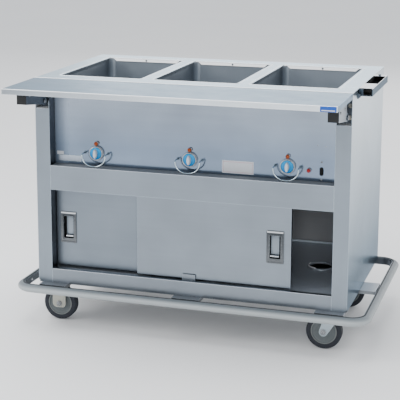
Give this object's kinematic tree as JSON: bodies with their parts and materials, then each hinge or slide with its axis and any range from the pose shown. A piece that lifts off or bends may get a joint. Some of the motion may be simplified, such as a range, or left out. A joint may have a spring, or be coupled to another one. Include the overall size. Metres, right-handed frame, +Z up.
{
  "type": "steam table unit",
  "caption": "Mobile electric steam table: open wells for full-size pans, thermostat knobs behind wire guards, sliding-door cabinet, fold-down shelf, bumper and casters.",
  "frame": {"origin": "on the floor under the centre of the whole unit's bounding box, shelf up and doors as stored", "axes": "+X to the operator's right along the wells, which is the long way; +Y back from the control side; +Z up"},
  "size_m": [1.3068, 0.9864, 0.925],
  "materials": {
    "top_steel": "fine straight brushed stainless, running across",
    "body_steel": "fine straight brushed stainless",
    "well_steel": "dull deep-drawn stainless",
    "element_sheath": "heat-dulled alloy sheath",
    "frame_steel": "mill-finish steel channel",
    "bumper_metal": "dark extruded channel",
    "bumper_vinyl": "pale grey smooth vinyl",
    "black_plastic": "black moulded plastic",
    "bracket_steel": "dark slate steel",
    "bright_steel": "polished stainless",
    "guard_chrome": "bright chromed wire",
    "knob_blue": "blue moulded plastic with a pale pointer",
    "lamp_amber": "translucent amber lens",
    "lamp_red": "translucent red lens",
    "control_body": "dark control housing",
    "caster_zinc": "zinc-plated pressed steel",
    "tyre_rubber": "dark blue-grey non-marking rubber",
    "hub_plastic": "grey moulded hub"
  },
  "bodies": {
    "cabinet": {"top_panel": "top_steel", "side_panel_left": "body_steel", "side_panel_right": "body_steel", "back_panel": "body_steel", "control_panel": "body_steel", "apron_rail": "body_steel", "bottom_rail": "body_steel", "cabinet_floor": "body_steel", "track_deck": "body_steel", "well_liner_1": "well_steel", "heating_element_1": "element_sheath", "knob_bezel_1": "bright_steel", "knob_guard_1": "guard_chrome", "amber_lamp_1": "lamp_amber", "thermostat_1": "control_body", "well_liner_2": "well_steel", "heating_element_2": "element_sheath", "knob_bezel_2": "bright_steel", "knob_guard_2": "guard_chrome", "amber_lamp_2": "lamp_amber", "thermostat_2": "control_body", "well_liner_3": "well_steel", "heating_element_3": "element_sheath", "knob_bezel_3": "bright_steel", "knob_guard_3": "guard_chrome", "amber_lamp_3": "lamp_amber", "thermostat_3": "control_body", "red_lamp": "lamp_red", "end_handle_tray": "black_plastic", "base_frame": "frame_steel", "bumper_channel": "bumper_metal", "bumper_strip": "bumper_vinyl", "end_handle": "bright_steel", "shelf_bracket_left": "bracket_steel", "shelf_bracket_right": "bracket_steel", "rigid_fork_front": "caster_zinc", "swivel_plate_front": "caster_zinc", "rigid_fork_rear": "caster_zinc", "swivel_plate_rear": "caster_zinc"},
    "shelf": {"shelf_panel": "top_steel", "shelf_arm_left": "bracket_steel", "shelf_arm_right": "bracket_steel"},
    "left_door": {"door_left": "body_steel", "door_pull_left": "bright_steel"},
    "right_door": {"door_right": "body_steel", "door_pull_right": "bright_steel"},
    "knob_left": {"knob_1": "knob_blue"},
    "knob_middle": {"knob_2": "knob_blue"},
    "knob_right": {"knob_3": "knob_blue"},
    "power_switch": {"power_rocker": "black_plastic"},
    "rigid_wheel_front": {"rigid_tyre_front": "tyre_rubber", "rigid_hub_front": "hub_plastic"},
    "swivel_front": {"swivel_fork_front": "caster_zinc"},
    "swivel_wheel_front": {"swivel_tyre_front": "tyre_rubber", "swivel_hub_front": "hub_plastic"},
    "rigid_wheel_rear": {"rigid_tyre_rear": "tyre_rubber", "rigid_hub_rear": "hub_plastic"},
    "swivel_rear": {"swivel_fork_rear": "caster_zinc"},
    "swivel_wheel_rear": {"swivel_tyre_rear": "tyre_rubber", "swivel_hub_rear": "hub_plastic"}
  },
  "joints": [
    {"name": "shelf_fold", "type": "hinge", "parent": "cabinet", "child": "shelf", "pos_m": [0, -0.2522, 0.848], "axis": [1, 0, 0], "range_deg": [0, 90]},
    {"name": "left_door_slide", "type": "slide", "parent": "cabinet", "child": "left_door", "axis": [1, 0, 0], "range_m": [0, 0.467]},
    {"name": "right_door_slide", "type": "slide", "parent": "cabinet", "child": "right_door", "axis": [1, 0, 0], "range_m": [-0.319, 0.148]},
    {"name": "knob_left_turn", "type": "hinge", "parent": "cabinet", "child": "knob_left", "pos_m": [-0.3545, -0.1862, 0.655], "axis": [0, 1, 0], "range_deg": [0, 300]},
    {"name": "knob_middle_turn", "type": "hinge", "parent": "cabinet", "child": "knob_middle", "pos_m": [-0.0045, -0.1862, 0.655], "axis": [0, 1, 0], "range_deg": [0, 300]},
    {"name": "knob_right_turn", "type": "hinge", "parent": "cabinet", "child": "knob_right", "pos_m": [0.3455, -0.1862, 0.655], "axis": [0, 1, 0], "range_deg": [0, 300]},
    {"name": "power_switch_rock", "type": "hinge", "parent": "cabinet", "child": "power_switch", "pos_m": [0.462, -0.1768, 0.644], "axis": [1, 0, 0], "range_deg": [0, 12]},
    {"name": "rigid_wheel_front_spin", "type": "hinge", "parent": "cabinet", "child": "rigid_wheel_front", "pos_m": [-0.524, -0.1292, 0.0635], "axis": [0, 1, 0], "continuous": true},
    {"name": "swivel_front_turn", "type": "hinge", "parent": "cabinet", "child": "swivel_front", "pos_m": [0.513, -0.1292, 0.14], "axis": [0, 0, 1], "continuous": true},
    {"name": "swivel_wheel_front_spin", "type": "hinge", "parent": "swivel_front", "child": "swivel_wheel_front", "pos_m": [0.476, -0.1292, 0.0635], "axis": [0, 1, 0], "continuous": true},
    {"name": "rigid_wheel_rear_spin", "type": "hinge", "parent": "cabinet", "child": "rigid_wheel_rear", "pos_m": [-0.524, 0.3368, 0.0635], "axis": [0, 1, 0], "continuous": true},
    {"name": "swivel_rear_turn", "type": "hinge", "parent": "cabinet", "child": "swivel_rear", "pos_m": [0.513, 0.3368, 0.14], "axis": [0, 0, 1], "continuous": true},
    {"name": "swivel_wheel_rear_spin", "type": "hinge", "parent": "swivel_rear", "child": "swivel_wheel_rear", "pos_m": [0.476, 0.3368, 0.0635], "axis": [0, 1, 0], "continuous": true}
  ]
}
